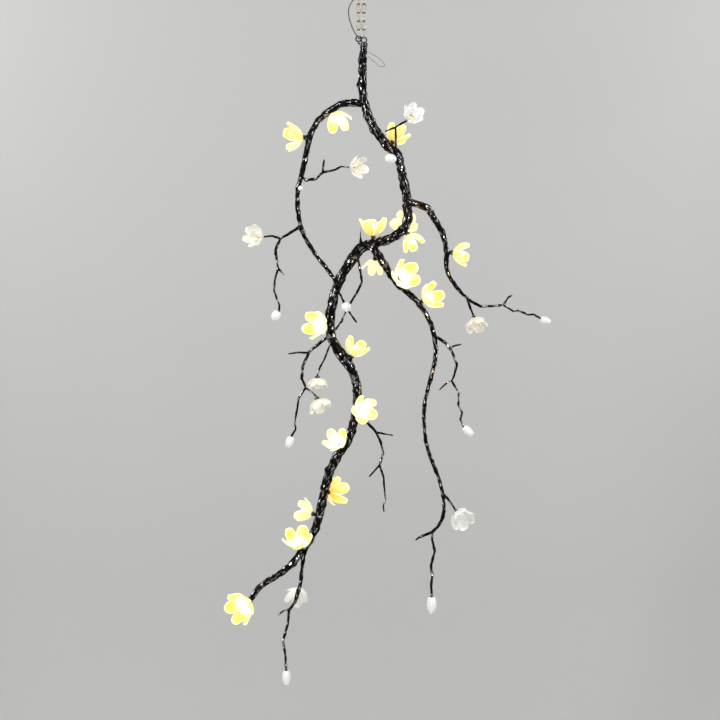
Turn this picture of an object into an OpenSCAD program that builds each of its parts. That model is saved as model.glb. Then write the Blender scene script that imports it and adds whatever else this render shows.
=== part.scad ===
// Flowering bough chandelier, hung from a ceiling set on a doubled chain.
// Origin at the middle of the face against the ceiling, +Z up, the room in front of it along -Y.

/* [Ceiling set] */
// Radius of the ceiling plate
plate_r = 45; // [40:1:52]
// Thickness of the ceiling plate
plate_t = 3; // [2:0.5:4]
// Distance between the two fixing holes of the plate
fixing_span = 70; // [60:1:76]
// Radius of each fixing hole
fixing_r = 2.6; // [2:0.1:3]
// Outer radius of the canopy cup
canopy_r = 60; // [56:1:80]
// Depth of the canopy cup
canopy_d = 28; // [26:1:34]
// Wall of the canopy cup
canopy_wall = 1.5; // [1:0.1:2.5]
// Outer radius of the hollow hanging tube
tube_r = 5; // [4.5:0.1:5.5]
// Bore radius of the hollow hanging tube
tube_bore_r = 3; // [2.5:0.1:3.5]

/* [Chain] */
// Radius of the chain's wire
link_wire_r = 1.5; // [1.2:0.1:1.7]
// Width across a link
link_w = 12; // [11.5:0.5:13]
// Distance from one link to the next
link_pitch = 22; // [20:0.5:24]
// Links in each run
link_count = 5; // [4:1:6]
// Radius of the turning loop's wire
loop_wire_r = 2.5; // [2:0.1:2.7]
// Place of the left run across the stem
left_run_x = -9; // [-10:0.5:-8]
// Place of the right run across the stem
right_run_x = 5; // [4.5:0.5:6]
// Radius of the eyes' wire on the stem cap
eye_wire_r = 2; // [1.6:0.1:2.2]
// Inner radius of the eyes on the stem cap
eye_inner_r = 5; // [4.5:0.1:5.5]

/* [Bough] */
// Share by which all branches are thicker or thinner
wood_scale = 1; // [0.9:0.02:1.1]
// Depth of the bark's unevenness as a share of the radius
bark = 0.06; // [0:0.01:0.12]
// Sides of the trunk's rings
trunk_sides = 7; // [6:1:12]
// Sides of the trunk's knots
knot_sides = 5; // [4:1:8]
// Sides of the twigs' rings
twig_sides = 6; // [5:1:10]
// Clearance where a branch meets another
seat_gap = 0.2; // [0.1:0.05:0.4]

/* [Blooms] */
// Share by which all blooms are larger or smaller
bloom_scale = 1; // [0.9:0.02:1.05]
// Wall of the porcelain
petal_wall = 2.6; // [2:0.1:3.2]
// Radius of the hole in a bloom's foot
bloom_bore_r = 3.2; // [3:0.1:3.6]
// Height of the calyx cup behind a bloom
calyx_h = 7; // [5:0.5:9]
// Radius of the calyx cup
calyx_r = 6.5; // [5.5:0.5:8]
// Radius of the lamp capsule
lamp_r = 5; // [4:0.2:6]
// Length of the lamp capsule
lamp_len = 20; // [14:1:24]
// Radius of the lamp holder
holder_r = 5.6; // [5:0.2:6.4]
// Height of the lamp holder in the cup
holder_h = 7; // [5:0.5:10]

/* [Leads] */
// Radius of the supply lead
lead_r = 1.4; // [1.2:0.1:1.6]
// Radius of the clear wire loop
clear_wire_r = 0.8; // [0.6:0.1:1]

/* [Hidden] */
$fn = 48;
// Twigs: node name, and which of the twig paths below are in it
TWIG_NODES = [["upper_twig", [0]], ["left_upper_twig", [1]], ["left_side_twig", [2]],
    ["right_end_twigs", [3, 4]], ["crossing_twigs", [5]], ["long_side_twigs", [6, 7]],
    ["long_end_twig", [8]], ["left_lower_twigs", [9, 10]], ["lower_right_twig", [11]],
    ["bottom_twig", [12]]];

gap = 0.3;
fit = 0.15;

// Paths of the bough: place of the centre line and radius of the wood, in millimetres
TRUNK = [[5, 0, -194, 10], [0, 3, -260, 11.4], [5, 7, -345, 12.4], [30, 12, -410, 12.6],
    [70, 17, -460, 13], [95, 19, -485, 13], [105, 19, -535, 12.2], [115, 17, -580, 12.2],
    [120, 12, -635, 12.4], [110, 7, -672, 12.8], [75, 2, -698, 13], [30, -3, -713, 13.6],
    [0, -3, -720, 14.8], [-22, -3, -746, 14.6], [-56, -1, -799, 13.2], [-75, 2, -855, 12.8],
    [-84, 7, -915, 12.8], [-78, 7, -964, 13.2], [-49, 7, -1002, 12.6], [-22, 7, -1049, 12.6],
    [-11, 7, -1100, 12.6], [-19, 7, -1170, 12], [-39, 7, -1227, 12.4], [-72, 12, -1275, 12.2],
    [-95, 15, -1340, 12.2], [-107, 17, -1400, 11.8], [-120, 17, -1450, 11.4], [-150, 15, -1505, 10.6],
    [-190, 12, -1552, 9.6], [-230, 7, -1580, 8.6], [-265, 2, -1602, 8.4], [-291, -4, -1640, 7.4]];
LEFT = [[3, 7, -348, 10.4], [-44, -3, -345, 10.6], [-86, -13, -367, 9.4], [-125, -23, -408, 8.8],
    [-142, -28, -465, 8.2], [-150, -28, -507, 7.8], [-165, -23, -564, 7.2], [-168, -13, -605, 6.8],
    [-163, -3, -650, 6.4], [-150, 7, -692, 6.2], [-117, 19, -746, 6], [-81, 27, -788, 5.8],
    [-64, 11, -822, 5.4]];
RIGHT = [[118, 15, -600, 10], [147, 25, -610, 9.8], [172, 32, -619, 10], [186, 38, -642, 9],
    [210, 49, -681, 8.2], [222, 59, -731, 7.2], [221, 67, -775, 6.8], [239, 75, -812, 5.9],
    [272, 83, -848, 5], [309, 91, -872, 4], [353, 97, -871, 3.5], [370, 99, -869, 3.3]];
LONG = [[25, -5, -716, 10.7], [37, -17, -734, 11], [58, -27, -766, 10.4], [85, -35, -810, 9.4],
    [120, -43, -840, 8.4], [153, -49, -875, 7.6], [178, -53, -921, 7], [190, -55, -971, 6.6],
    [188, -57, -1021, 6.2], [173, -59, -1076, 5.9], [160, -59, -1136, 5.5], [161, -59, -1191, 5.4],
    [168, -59, -1241, 5.4], [188, -57, -1292, 5.4], [206, -55, -1345, 5.2], [212, -53, -1400, 5.1],
    [204, -53, -1432, 5], [180, -53, -1460, 4.4], [155, -53, -1468, 4], [138, -53, -1480, 2.8]];

// Twigs in the order of their names: main path first, then its forks
TWIGS = [
    [[[88, 17, -474, 3.5], [88, 9, -440, 3.2], [87, 1, -411, 3]],
     [[60, 5, -419, 2.6], [87, 1, -409, 3], [122, -9, -388, 3]]],
    [[[-160, -26, -536, 5], [-145, -27, -548, 4.5], [-120, -29, -545, 4], [-102, -31, -528, 3.8],
      [-70, -33, -521, 3.3], [-55, -34, -513, 3], [-33, -35, -514, 2.8]],
     [[-102, -31, -528, 3.5], [-100, -31, -510, 3], [-98, -33, -494, 2.2]]],
    [[[-162, -1, -668, 4.5], [-185, -7, -683, 4.2], [-212, -13, -699, 4], [-225, -15, -728, 3.8],
      [-218, -17, -775, 3.6], [-226, -19, -807, 3.2], [-228, -19, -835, 3], [-214, -21, -872, 2.8],
      [-216, -21, -888, 2.8]],
     [[-218, -17, -775, 3.2], [-210, -18, -784, 3], [-202, -20, -792, 2.4]],
     [[-212, -13, -699, 3.4], [-232, -19, -692, 3.2], [-259, -25, -695, 3]]],
    [[[275, 84, -850, 3.4], [284, 81, -876, 3.2], [292, 77, -898, 3]]],
    [[[372, 99, -869, 3.4], [398, 102, -886, 3.2], [411, 103, -884, 3], [437, 106, -895, 3],
      [452, 107, -894, 2.8], [470, 109, -905, 2.8]],
     [[372, 99, -869, 3.4], [383, 101, -850, 3], [395, 102, -843, 2.4]]],
    [[[-18, -5, -728, 4], [-8, -19, -762, 3.6], [0, -25, -812, 3.4], [-14, -26, -841, 3.2],
      [-39, -23, -880, 3], [-53, -15, -914, 3], [-76, 1, -944, 3]],
     [[-68, -3, -826, 3.6], [-54, -17, -848, 3.4], [-40, -23, -880, 3], [-14, -27, -917, 2.4]]],
    [[[188, -55, -950, 4.4], [219, -51, -972, 4.2], [234, -49, -996, 4], [245, -47, -1024, 3.8],
      [238, -45, -1055, 3.6], [232, -45, -1068, 3.4], [250, -43, -1100, 3], [249, -41, -1131, 3],
      [259, -39, -1150, 3], [254, -39, -1168, 2.8], [263, -38, -1188, 2.8]],
     [[228, -50, -983, 3.2], [242, -49, -976, 2.8], [257, -49, -974, 2.2]],
     [[231, -45, -1067, 3], [215, -49, -1077, 2.6], [200, -51, -1091, 2.2]]],
    [[[209, -54, -1358, 3.6], [224, -55, -1375, 3.4], [242, -57, -1402, 3.2]]],
    [[[181, -53, -1459, 3.9], [182, -51, -1482, 3.8], [188, -49, -1509, 3.8], [178, -47, -1545, 3.6],
      [182, -45, -1570, 3.6], [179, -43, -1600, 3.8], [181, -43, -1628, 3.4]]],
    [[[-80, 11, -948, 4.5], [-109, 21, -969, 4.2], [-137, 27, -992, 4.2], [-155, 31, -1030, 3.8],
      [-157, 33, -1062, 3.6], [-147, 35, -1086, 3.4], [-165, 37, -1113, 3.2], [-170, 39, -1145, 3],
      [-176, 39, -1178, 2.8], [-173, 39, -1195, 2.8], [-185, 39, -1214, 2.6]],
     [[-140, 28, -995, 3.6], [-163, 29, -994, 3], [-192, 31, -998, 2.4]],
     [[-146, 35, -1088, 3], [-130, 33, -1098, 2.8], [-119, 31, -1110, 2.6]]],
    [[[-78, 7, -958, 3.4], [-87, -7, -984, 3], [-97, -9, -1010, 2.8], [-109, -9, -1033, 2.6],
      [-116, -11, -1054, 2.6]]],
    [[[-12, 5, -1150, 4.4], [8, -3, -1170, 4.2], [36, -9, -1201, 4], [50, -13, -1230, 3.6],
      [55, -15, -1255, 3.4], [46, -17, -1287, 3.2], [56, -19, -1318, 3], [58, -19, -1347, 2.8],
      [61, -21, -1375, 2.6], [55, -21, -1392, 2.4], [57, -21, -1408, 2.2]],
     [[36, -9, -1201, 3.4], [60, -11, -1206, 2.8], [80, -13, -1210, 2.2]],
     [[46, -17, -1287, 3], [34, -19, -1300, 2.6], [18, -21, -1317, 2.2]]],
    [[[-146, 13, -1500, 6], [-155, 9, -1545, 5.2], [-160, 7, -1595, 5], [-174, 5, -1644, 4.5],
      [-190, 3, -1665, 4.2], [-193, 3, -1700, 3.8], [-205, 1, -1743, 3.6], [-199, -1, -1785, 3.4],
      [-197, -3, -1822, 3.2]],
     [[-186, 3, -1661, 3.4], [-204, 1, -1666, 2.8], [-220, -1, -1678, 2.2]]]];

// Strand that lies against the trunk below the lower bend, and the spike above the saddle
STRAND = [[-84, 4, -952, 3], [-76, -1, -985, 3.2], [-60, -3, -1012, 3.2], [-38, -1, -1038, 3.2],
    [-14, 3, -1074, 3]];
SPIKE = [[-3, -3, -712, 4], [-4, -5, -690, 2.4], [-4, -7, -672, 1.2]];

// Each bloom: path it grows on, place along the path, way it faces, span, petals, lit,
// and the length of stalk from the wood's middle to the calyx
BLOOMS = [
    [LEFT, 3.5, [-1, -0.25, -0.05], 78, 5, true, 12],
    [LEFT, 1.7, [0.25, -0.6, -0.76], 72, 5, true, 15],
    [TRUNK, 4, [0.45, 0.55, 0.7], 72, 5, true, 16],
    [TWIGS[0][1], 2, [0.35, -0.85, 0.38], 64, 6, false, 2],
    [TWIGS[1][0], 6, [0.76, -0.65, 0], 60, 5, false, 2.5],
    [TWIGS[2][2], 2, [-0.62, -0.78, 0.05], 62, 6, false, 2],
    [TRUNK, 11, [-0.05, -0.15, 1], 78, 5, true, 16],
    [TRUNK, 8.6, [-0.06, 1, 0.06], 76, 5, true, 15],
    [TRUNK, 9, [0.5, -0.4, -0.8], 65, 5, true, 15],
    [RIGHT, 5, [0.95, -0.2, -0.12], 70, 5, true, 10],
    [LONG, 1, [-0.15, 0.5, -0.85], 58, 5, true, 17],
    [LONG, 3, [0.5, -0.82, 0.28], 86, 5, true, 18],
    [LONG, 4.8, [0.72, -0.55, 0.42], 76, 5, true, 12],
    [TWIGS[3][0], 2, [0.28, -0.45, -0.85], 62, 5, false, 2],
    [TRUNK, 16.2, [-0.68, -0.73, 0.05], 82, 5, true, 17],
    [TRUNK, 18.45, [0.42, -0.35, 0.84], 72, 5, true, 18],
    [TRUNK, 20.6, [0.4, -0.9, 0], 76, 5, true, 17],
    [TWIGS[10][0], 4, [0.05, -0.2, -1], 55, 5, false, 1],
    [TWIGS[9][2], 2, [0.4, -0.25, -0.9], 62, 5, false, 1],
    [TRUNK, 22.4, [-0.34, -0.8, 0.5], 72, 5, true, 20],
    [TRUNK, 24.3, [0.62, 0.78, 0], 78, 5, true, 14],
    [TRUNK, 25.4, [-0.85, 0.38, 0.28], 66, 5, true, 16],
    [TRUNK, 27.25, [-0.16, -0.6, 0.77], 84, 5, true, 19],
    [TRUNK, 31, [-0.5, -0.8, -0.35], 92, 6, true, 6],
    [TWIGS[12][0], 2.2, [-0.2, 0.8, -0.55], 66, 5, false, 14],
    [TWIGS[7][0], 2, [0.45, -0.68, -0.58], 66, 6, false, 3]];

// Each bud: path, place along the path, way it points, length, width, stalk
BUDS = [
    [TRUNK, 5.2, [-0.8, -0.6, 0.1], 30, 25, 17],
    [LEFT, 6.2, [0.45, -0.85, 0.25], 15, 12, 10],
    [TWIGS[2][0], 8, [-0.55, -0.1, -0.8], 26, 24, 2],
    [TWIGS[5][0], 4, [-0.1, -0.95, 0.2], 28, 26, 6],
    [TWIGS[4][0], 5, [0.9, 0.1, -0.35], 30, 20, 1],
    [TWIGS[6][0], 10, [0.75, 0, -0.65], 33, 22, 1],
    [TWIGS[9][0], 10, [-0.3, 0, -0.95], 31, 22, 1],
    [TWIGS[8][0], 6, [0, 0, -1], 44, 26, 1],
    [TWIGS[12][0], 8, [0.03, 0, -1], 39, 23, 1]];

// Route of the supply lead from the tube's mouth to the stem cap
LEAD = [[0, 0, -48], [0, 0, -52], [0, 0, -56], [-4, -7, -62], [-10, -11, -69], [-20, -12, -76],
    [-29, -11, -88], [-34, -10, -100], [-35, -9, -112], [-33, -8, -127], [-28, -9, -143], [-22, -11, -158],
    [-14, -11, -171], [-5, -9, -180], [0, -5, -185], [0, -5, -189.9]];
// Route of the clear wire from the stem's side round its tip and back
CLEAR = [[10, 1, -211], [18, -2, -214], [32, -5, -222], [46, -8, -232], [56, -10, -242],
    [58, -8, -250], [47, -2, -251], [34, 2, -240], [18, 2, -226], [9, 2, -222]];

function unit(v) = v / norm(v);
function spot(p) = [p[0], p[1], p[2]];
function clamp_index(path, i) = max(0, min(len(path) - 1, i));
function blend4(a, b, c, d, f) =
    0.5 * (2 * b + (c - a) * f + (2 * a - 5 * b + 4 * c - d) * f * f
    + (3 * b - a - 3 * c + d) * f * f * f);
// Point and radius of a path at a place between its points
function along(path, t) =
    let (i = min(floor(t), len(path) - 2), f = t - i)
    blend4(path[clamp_index(path, i - 1)], path[i], path[i + 1],
        path[clamp_index(path, i + 2)], f);
function heading(path, t) =
    let (step = 0.05, a = max(0, t - step), b = min(len(path) - 1, t + step))
    unit(spot(along(path, b)) - spot(along(path, a)));
function wood_r(path, t) = along(path, t)[3] * wood_scale;
function ring_side(way) = unit(cross(way, [0.05, 1, 0.08]));
function bark_at(t, k) = 1 + bark * sin(t * 977 + k * 141) * cos(t * 353 + k * 97);

// Tube along a path with an uneven, bark-like radius
module wood(path, from, to, sides, per = 1.5, grow = 0) {
    count = ceil((to - from) * per);
    places = [for (i = [0:count]) from + (to - from) * i / count];
    points = [for (t = places)
        let (p = spot(along(path, t)), way = heading(path, t), u = ring_side(way), v = cross(way, u))
        for (k = [0:sides - 1])
            let (a = 360 * k / sides, r = wood_r(path, t) * bark_at(t, k) + grow)
            p + r * (cos(a) * u + sin(a) * v)];
    walls = [for (i = [0:count - 1], k = [0:sides - 1])
        let (a = i * sides + k, b = i * sides + (k + 1) % sides)
        each [[a, b + sides, b], [a, a + sides, b + sides]]];
    start_cap = [[for (k = [0:sides - 1]) k]];
    end_cap = [[for (k = [sides - 1:-1:0]) count * sides + k]];
    polyhedron(points, concat(walls, start_cap, end_cap), convexity = 10);
}

// Plain tube of even radius along a route, for leads
module lead_tube(route, r, sides, per) {
    count = (len(route) - 1) * per;
    points = [for (i = [0:count])
        let (t = i / per, way = heading(route, t), u = ring_side(way), v = cross(way, u),
            p = spot(along(route, t)))
        for (k = [0:sides - 1])
            p + r * (cos(360 * k / sides) * u + sin(360 * k / sides) * v)];
    walls = [for (i = [0:count - 1], k = [0:sides - 1])
        let (a = i * sides + k, b = i * sides + (k + 1) % sides)
        each [[a, b + sides, b], [a, a + sides, b + sides]]];
    polyhedron(points, concat(walls, [[for (k = [0:sides - 1]) k]],
        [[for (k = [sides - 1:-1:0]) count * sides + k]]), convexity = 10);
}

// Children stand at a point with their +Z turned to a way
module stand(p, way) {
    d = unit(way);
    translate(p) rotate([0, acos(d[2]), atan2(d[1], d[0])]) children();
}

// Raised knots along a path, each a small lump that leans the way the wood grows
module knots(path, from, to, count, sides, grow = 0) {
    for (i = [0:count - 1]) {
        t = from + (to - from) * (i + 0.5) / count;
        p = spot(along(path, t));
        way = heading(path, t);
        u = ring_side(way);
        v = cross(way, u);
        a = i * 137 + 40;
        r = wood_r(path, t);
        out = cos(a) * u + sin(a) * v;
        size = 0.46 + 0.26 * abs(sin(i * 77 + 20));
        hull() {
            translate(p + out * r * 0.6) sphere(r * size + grow, $fn = sides);
            translate(p + (out * 0.72 + way * 1.4) * r) sphere(r * 0.2 + grow, $fn = sides);
        }
    }
}

// Flat-topped boss that carries a calyx cup or a bud
module boss(path, t, way, stalk, top_r, grow = 0) {
    p = spot(along(path, t));
    base_r = min(wood_r(path, t) * 0.85, top_r * 1.3);
    stand(p, way) hull() {
        cylinder(h = 0.5, r = base_r + grow, $fn = 6);
        translate([0, 0, stalk - 0.5]) cylinder(h = 0.5 + grow, r = top_r + grow, $fn = 6);
    }
}

function same_path(a, b) = len(a) == len(b) && a[0] == b[0] && a[1] == b[1];

module bosses(path, from, to, grow = 0) {
    for (b = BLOOMS)
        if (same_path(b[0], path) && b[1] >= from && b[1] <= to)
            boss(path, b[1], b[2], b[6], min(calyx_r - 1, wood_r(path, b[1])), grow);
    for (b = BUDS)
        if (same_path(b[0], path) && b[1] >= from && b[1] <= to)
            boss(path, b[1], b[2], b[5], min(b[4] * 0.18, wood_r(path, b[1])), grow);
}

module bark_colour() { color([0.04, 0.035, 0.03]) children(); }

spigot_len = 14;
spigot_root = 4;
spigot_share = 0.5;

module spigot(path, t, grow) {
    stand(spot(along(path, t)), heading(path, t)) translate([0, 0, -spigot_root])
        cylinder(h = spigot_root + spigot_len + grow, r = wood_r(path, t) * spigot_share + grow, $fn = 8);
}

// One length of the trunk without its spigot
module trunk_wood(from, to, knot_count, grow = 0) {
    wood(TRUNK, from, to, trunk_sides, 1.5, grow);
    knots(TRUNK, from + 0.3, to - 0.6, knot_count, knot_sides, grow);
    bosses(TRUNK, from, to, grow);
}

// One length of the trunk, with its spigot below and its socket above
module trunk_length(from, to, knot_count) {
    difference() {
        union() {
            trunk_wood(from, to, knot_count);
            if (to < len(TRUNK) - 1) spigot(TRUNK, to, 0);
            children();
        }
        if (from > 0) spigot(TRUNK, from, fit);
    }
}

cut_upper = 5.5;
cut_middle = 13.5;
cut_lower = 21.5;

module stem() {
    bark_colour() difference() {
        trunk_length(0, cut_upper, 6);
        translate([cap_x, 0, stem_top_z]) cylinder(h = 20, r = 2 * cap_r);
    }
}
module trunk_upper() {
    bark_colour() trunk_length(cut_upper, cut_middle, 6) wood(SPIKE, 0, 2, twig_sides, 1);
}
module trunk_middle() {
    bark_colour() trunk_length(cut_middle, cut_lower, 6) wood(STRAND, 0, 4, twig_sides);
}
module trunk_lower() { bark_colour() trunk_length(cut_lower, len(TRUNK) - 1, 8); }

// The whole trunk, grown by the seat gap, that the branches are cut back from
module trunk_space() {
    trunk_wood(0, cut_upper, 6, seat_gap);
    trunk_wood(cut_upper, cut_middle, 6, seat_gap);
    trunk_wood(cut_middle, cut_lower, 6, seat_gap);
    trunk_wood(cut_lower, len(TRUNK) - 1, 8, seat_gap);
    wood(STRAND, 0, 4, twig_sides, 1.5, seat_gap);
}

module branch(path, knot_count, grow = 0) {
    last = len(path) - 1;
    wood(path, 0, last, trunk_sides, 1.5, grow);
    knots(path, 1.2, last - 1.2, knot_count, knot_sides, grow);
    bosses(path, 0.5, last, grow);
}

module left_branch() {
    bark_colour() difference() { branch(LEFT, 6); trunk_space(); }
}
module right_branch() {
    bark_colour() difference() { branch(RIGHT, 5); trunk_space(); }
}
module long_branch() {
    bark_colour() difference() { branch(LONG, 8); trunk_space(); }
}

module twig_body(paths, grow = 0) {
    for (path = paths) {
        wood(path, 0, len(path) - 1, twig_sides, 1, grow);
        bosses(path, 0, len(path) - 1, grow);
    }
    knots(paths[0], 0.6, len(paths[0]) - 1.4, 4, 4, grow);
}

// A twig, cut back from the branch that carries it
module twig(i) {
    bark_colour() difference() {
        twig_body(TWIGS[i]);
        trunk_space();
        if (i == 1 || i == 2) branch(LEFT, 6, seat_gap);
        if (i == 3 || i == 4) branch(RIGHT, 5, seat_gap);
        if (i == 6 || i == 7 || i == 8) branch(LONG, 8, seat_gap);
    }
}

module bloom_place(i) {
    b = BLOOMS[i];
    stand(spot(along(b[0], b[1])) + unit(b[2]) * b[6], b[2]) children();
}

// Height of a bloom's foot, on which its holder or nut sits
foot_h = petal_wall * 1.3;

// Cup of n petals in one piece of porcelain, open in front, on the calyx at its foot
module bloom_cup(span, n) {
    s = span * bloom_scale / 2;
    deep = s * 1.12;
    round = 4 * n;
    lobe = [0.5, 0.88, 1, 0.88];
    lift = [0, 0.05, 0, 0.05];
    outside = [0.34, 0.7, 1];
    inside = [1, 0.6];
    seat_r = holder_r + 0.5;
    function out_r(q) = bloom_bore_r + 2 + (s - bloom_bore_r - 2) * pow(q, 0.8);
    function out_z(q) = deep * (0.35 * q + 0.65 * q * q);
    function petal(k, u, w) =
        let (q = u * lobe[k % 4], e = 0.02, dr = out_r(q + e) - out_r(q - e),
            dz = out_z(q + e) - out_z(q - e), m = norm([dr, dz]),
            r = out_r(q) * (1 - lift[k % 4]) - w * dz / m,
            z = out_z(q) + s * lift[k % 4] * u + w * dr / m, a = 360 * k / round)
        [r * cos(a), r * sin(a), z];
    function even(k, r, z) = [r * cos(360 * k / round), r * sin(360 * k / round), z];
    rings = concat(
        [[for (k = [0:round - 1]) even(k, bloom_bore_r, 0)]],
        [for (u = outside) [for (k = [0:round - 1]) petal(k, u, 0)]],
        [for (u = inside) [for (k = [0:round - 1]) petal(k, u, petal_wall)]],
        [for (r = [seat_r, bloom_bore_r]) [for (k = [0:round - 1]) even(k, r, foot_h)]]);
    total = len(rings);
    polyhedron([for (ring = rings) each ring],
        [for (i = [0:total - 1], k = [0:round - 1])
            let (a = i * round + k, b = i * round + (k + 1) % round,
                c = ((i + 1) % total) * round + (k + 1) % round, d = ((i + 1) % total) * round + k)
            each [[a, c, b], [a, d, c]]], convexity = 10);
}

module bloom(i) {
    color(BLOOMS[i][5] ? [1, 0.9, 0.45] : [0.95, 0.94, 0.9])
        bloom_place(i) translate([0, 0, calyx_h]) rotate([0, 0, i * 29])
            bloom_cup(BLOOMS[i][3], BLOOMS[i][4]);
}

module calyx_cups() {
    bark_colour() for (i = [0:len(BLOOMS) - 1]) bloom_place(i) difference() {
        rotate_extrude() polygon([[0, 0], [calyx_r - 2, 0], [calyx_r, 2], [calyx_r, calyx_h - 2],
            [bloom_bore_r + 1, calyx_h], [0, calyx_h]]);
        translate([0, 0, 2]) cylinder(h = calyx_h, r = bloom_bore_r);
    }
}

module lamp_holders() {
    color("white") for (i = [0:len(BLOOMS) - 1]) if (BLOOMS[i][5]) bloom_place(i) {
        translate([0, 0, 2]) cylinder(h = calyx_h + foot_h - 2 + gap, r = bloom_bore_r - fit);
        translate([0, 0, calyx_h + foot_h + gap]) cylinder(h = holder_h, r = holder_r);
    }
}

module lamps() {
    color([1, 0.95, 0.7]) for (i = [0:len(BLOOMS) - 1]) if (BLOOMS[i][5]) bloom_place(i)
        translate([0, 0, calyx_h + foot_h + gap + holder_h]) {
            cylinder(h = lamp_len - lamp_r, r = lamp_r);
            translate([0, 0, lamp_len - lamp_r]) sphere(lamp_r);
        }
}

module centre_nuts() {
    color([0.9, 0.85, 0.6]) for (i = [0:len(BLOOMS) - 1]) if (!BLOOMS[i][5]) bloom_place(i) {
        translate([0, 0, 2]) cylinder(h = calyx_h + foot_h - 2 + gap, r = bloom_bore_r - fit);
        translate([0, 0, calyx_h + foot_h + gap]) {
            cylinder(h = 3, r = holder_r - 0.6);
            translate([0, 0, 3]) rotate_extrude() intersection() {
                circle(holder_r - 1.2);
                square(holder_r);
            }
        }
    }
}

// Closed bud: a pointed egg with its calyx cup in one piece
module bud(length, width) {
    rows = 9;
    rotate_extrude() polygon(concat([[0, 0]], [for (i = [0:rows - 1])
        let (q = i / rows) [width / 2 * pow(sin(180 * pow(q, 0.75) * 0.9 + 14), 0.9), length * q]],
        [[0, length]]));
}

module buds() {
    color([0.96, 0.96, 0.94]) for (b = BUDS)
        stand(spot(along(b[0], b[1])) + unit(b[2]) * b[5], b[2]) bud(b[3], b[4]);
}

// Chain: link heights counted up from the eyes on the stem cap
link_bend_r = (link_w - 2 * link_wire_r) / 2;
link_straight = link_pitch + gap - 2 * (link_bend_r - link_wire_r);
link_reach = link_straight / 2 + link_bend_r;
eye_z = -182;
eye_ring_r = eye_inner_r + eye_wire_r;
right_bar_z = eye_z + eye_inner_r - gap - link_wire_r;
first_link_z = right_bar_z + link_reach;
top_link_z = first_link_z + (link_count - 1) * link_pitch;
loop_bar_z = top_link_z + link_reach - link_wire_r - gap - loop_wire_r;

module half_ring(bend_r, wire_r) {
    rotate([90, 0, 0]) rotate_extrude(angle = 180) translate([bend_r, 0]) circle(wire_r);
}

module chain_link() {
    for (s = [-1, 1]) translate([s * link_bend_r, 0, -link_straight / 2])
        cylinder(h = link_straight, r = link_wire_r);
    translate([0, 0, link_straight / 2]) half_ring(link_bend_r, link_wire_r);
    translate([0, 0, -link_straight / 2]) rotate([180, 0, 0]) half_ring(link_bend_r, link_wire_r);
}

module chain_run(x) {
    color([0.75, 0.75, 0.72]) for (i = [0:link_count - 1])
        translate([x, 0, first_link_z + i * link_pitch]) rotate([0, 0, i % 2 == 0 ? 90 : 0]) chain_link();
}
module chain() {
    chain_run(left_run_x);
    chain_run(right_run_x);
}

cap_h = 8;
stem_top_z = -198;
cap_top_z = stem_top_z + cap_h;
cap_x = TRUNK[0][0];
cap_r = TRUNK[0][3];
arm_z = cap_top_z - eye_wire_r;
// The left run hangs slack, so its eye sits higher in its link
slack_rise = 3;
module eye_ring(x, rise) {
    translate([x, 0, eye_z + rise]) rotate([90, 0, 0])
        rotate_extrude() translate([eye_ring_r, 0]) circle(eye_wire_r);
}
module stem_cap() {
    color([0.05, 0.045, 0.04]) {
        translate([cap_x, 0, stem_top_z]) cylinder(h = cap_h, r = cap_r);
        eye_ring(right_run_x, 0);
        eye_ring(left_run_x, slack_rise);
        translate([left_run_x, 0, arm_z]) {
            rotate([0, 90, 0]) cylinder(h = cap_x - left_run_x, r = eye_wire_r);
            sphere(eye_wire_r);
            cylinder(h = eye_z + slack_rise - eye_ring_r - arm_z, r = eye_wire_r);
        }
    }
}

// Ceiling set
flange_top_z = -45;
flange_h = 3;
tube_end_z = flange_top_z - flange_h;
// Closed mouth of the tube that grips the supply lead
bush_h = 4;
collar_h = 5;
collar_r = 9;
loop_half_w = 15;
nut_h = 4;

module fixing_holes() {
    for (s = [-1, 1]) translate([s * fixing_span / 2, 0, -plate_t - 1])
        cylinder(h = plate_t + 2, r = fixing_r);
}
module ceiling_plate() {
    color("silver") difference() {
        translate([0, 0, -plate_t]) cylinder(h = plate_t, r = plate_r);
        fixing_holes();
        translate([0, 0, -plate_t - 1]) cylinder(h = plate_t + 2, r = tube_r + fit);
    }
}
module ceiling_canopy() {
    edge = 4;
    color([0.05, 0.045, 0.04]) difference() {
        rotate_extrude() {
            polygon([[tube_r + fit, -canopy_d], [canopy_r - edge, -canopy_d],
                [canopy_r - edge, -canopy_d + canopy_wall], [tube_r + fit, -canopy_d + canopy_wall]]);
            translate([canopy_r - edge, -canopy_d + edge]) intersection() {
                difference() { circle(edge); circle(edge - canopy_wall); }
                translate([0, -edge]) square(edge);
            }
            translate([canopy_r - canopy_wall, -canopy_d + edge]) square([canopy_wall, canopy_d - edge]);
        }
    }
}
module hanging_tube() {
    color("silver") difference() {
        union() {
            translate([0, 0, tube_end_z]) cylinder(h = -tube_end_z - 0.5, r = tube_r);
            translate([0, 0, tube_end_z]) cylinder(h = flange_h, r = tube_r + 2.5);
        }
        translate([0, 0, tube_end_z + bush_h]) cylinder(h = -tube_end_z + 2, r = tube_bore_r);
        translate([0, 0, tube_end_z - 1]) cylinder(h = bush_h + 2, r = lead_r - 0.2);
    }
}
module nut(z) {
    translate([0, 0, z]) difference() {
        cylinder(h = nut_h, r = tube_r + 4, $fn = 6);
        translate([0, 0, -1]) cylinder(h = nut_h + 2, r = tube_r + fit);
    }
}
module tube_nuts() {
    color("silver") {
        nut(-plate_t - nut_h);
        nut(-canopy_d + canopy_wall);
    }
}
module canopy_nut() {
    color([0.05, 0.045, 0.04]) translate([0, 0, -canopy_d - 6]) difference() {
        cylinder(h = 6, r = tube_r + 5);
        translate([0, 0, -1]) cylinder(h = 8, r = tube_r + fit);
    }
}
module driver() {
    color([0.93, 0.93, 0.92]) translate([18, -14, -plate_t - 17]) cube([22, 28, 17]);
}
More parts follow.
